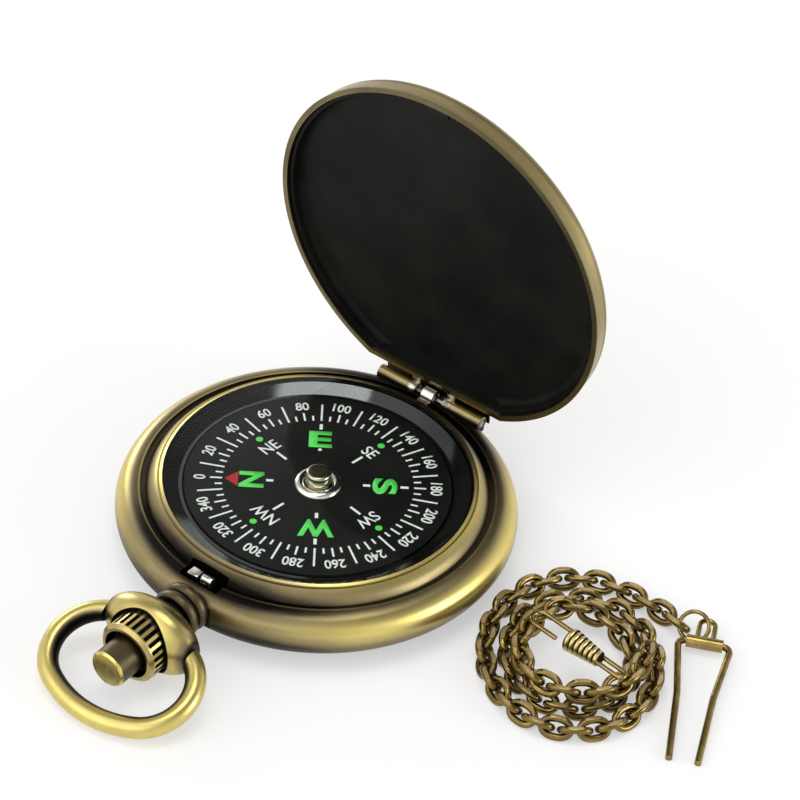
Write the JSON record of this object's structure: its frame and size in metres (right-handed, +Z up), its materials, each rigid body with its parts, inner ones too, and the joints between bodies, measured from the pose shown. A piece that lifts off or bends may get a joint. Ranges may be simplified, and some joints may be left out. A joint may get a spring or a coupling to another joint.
{
  "type": "pocket compass",
  "caption": "Hunter-cased pocket compass with a sprung domed lid, a floating card under glass, a push crown, a swinging bow and a coiled chain with clasp and belt clip.",
  "frame": {"origin": "centre of the flat on the back, which is on the table", "axes": "+Z up out of the dial, -Y along the pendant, +Y to the lid hinge, +X to the right seen from above with the pendant towards the viewer"},
  "size_m": [0.0791, 0.0672, 0.0511],
  "materials": {
    "antique_brass": "brushed antique brass with dark patina in the recesses",
    "steel": "plain bright steel",
    "black_paint": "satin black paint",
    "gloss_black": "glossy black",
    "matte_black": "matte black, printed on the card",
    "bright_chrome": "polished",
    "clear_glass": "clear, domed",
    "seal_rubber": "plain black"
  },
  "bodies": {
    "case": {"case_band": "antique_brass", "case_back": "antique_brass", "bezel_ring": "antique_brass", "case_knuckles": "antique_brass", "pendant_neck": "antique_brass", "pendant_collar": "antique_brass", "crown_sleeve": "antique_brass", "pivot_pin": "steel", "hinge_pin": "steel", "spring_tongue": "steel", "lid_spring": "steel", "button_spring": "steel", "rehaut_ring": "gloss_black", "dial_bowl": "matte_black", "crystal": "clear_glass", "crystal_gasket": "seal_rubber"},
    "card": {"compass_card": "matte_black", "card_hub": "bright_chrome", "jewel_post": "bright_chrome", "card_magnets": "steel"},
    "lid": {"lid_shell": "antique_brass", "lid_liner": "black_paint", "lid_knuckles": "steel"},
    "button": {"push_button": "antique_brass", "button_clip": "steel"},
    "catch": {"latch_catch": "steel"},
    "bow": {"bow": "antique_brass"},
    "chain": {"chain_links": "antique_brass", "clasp_hook": "antique_brass", "clasp_sleeve": "antique_brass", "clasp_eye": "antique_brass", "belt_clip": "antique_brass", "belt_tube": "antique_brass", "belt_loop": "antique_brass", "belt_ring": "antique_brass"}
  },
  "joints": [
    {"name": "card_spin", "type": "hinge", "parent": "case", "child": "card", "pos_m": [0, 0, 0.007], "axis": [0, 0, 1], "continuous": true},
    {"name": "lid_hinge", "type": "hinge", "parent": "case", "child": "lid", "pos_m": [0, 0.02195, 0.0066], "axis": [1, 0, 0], "range_deg": [0, 84.4], "stiffness_Nm_per_rad": 0.003, "springref_deg": -57.3, "deforming": ["lid_spring"]},
    {"name": "button_push", "type": "slide", "parent": "case", "child": "button", "axis": [0, 1, 0], "range_m": [0, 0.0008], "stiffness_N_per_m": 400, "springref_m": -0.001, "deforming": ["button_spring"]},
    {"name": "catch_slide", "type": "slide", "parent": "case", "child": "catch", "axis": [0, 1, 0], "range_m": [0, 0.0008]},
    {"name": "bow_swing", "type": "hinge", "parent": "case", "child": "bow", "pos_m": [0, -0.02963, 0.0048], "axis": [-1, 0, 0], "range_deg": [-70, 100]},
    {"name": "chain_lift", "type": "slide", "parent": "case", "child": "chain", "axis": [0, 0, 1], "range_m": [0, 0.03]}
  ],
  "couplings": [
    {"joint": "catch_slide", "follows": "button_push", "ratio": 1}
  ]
}
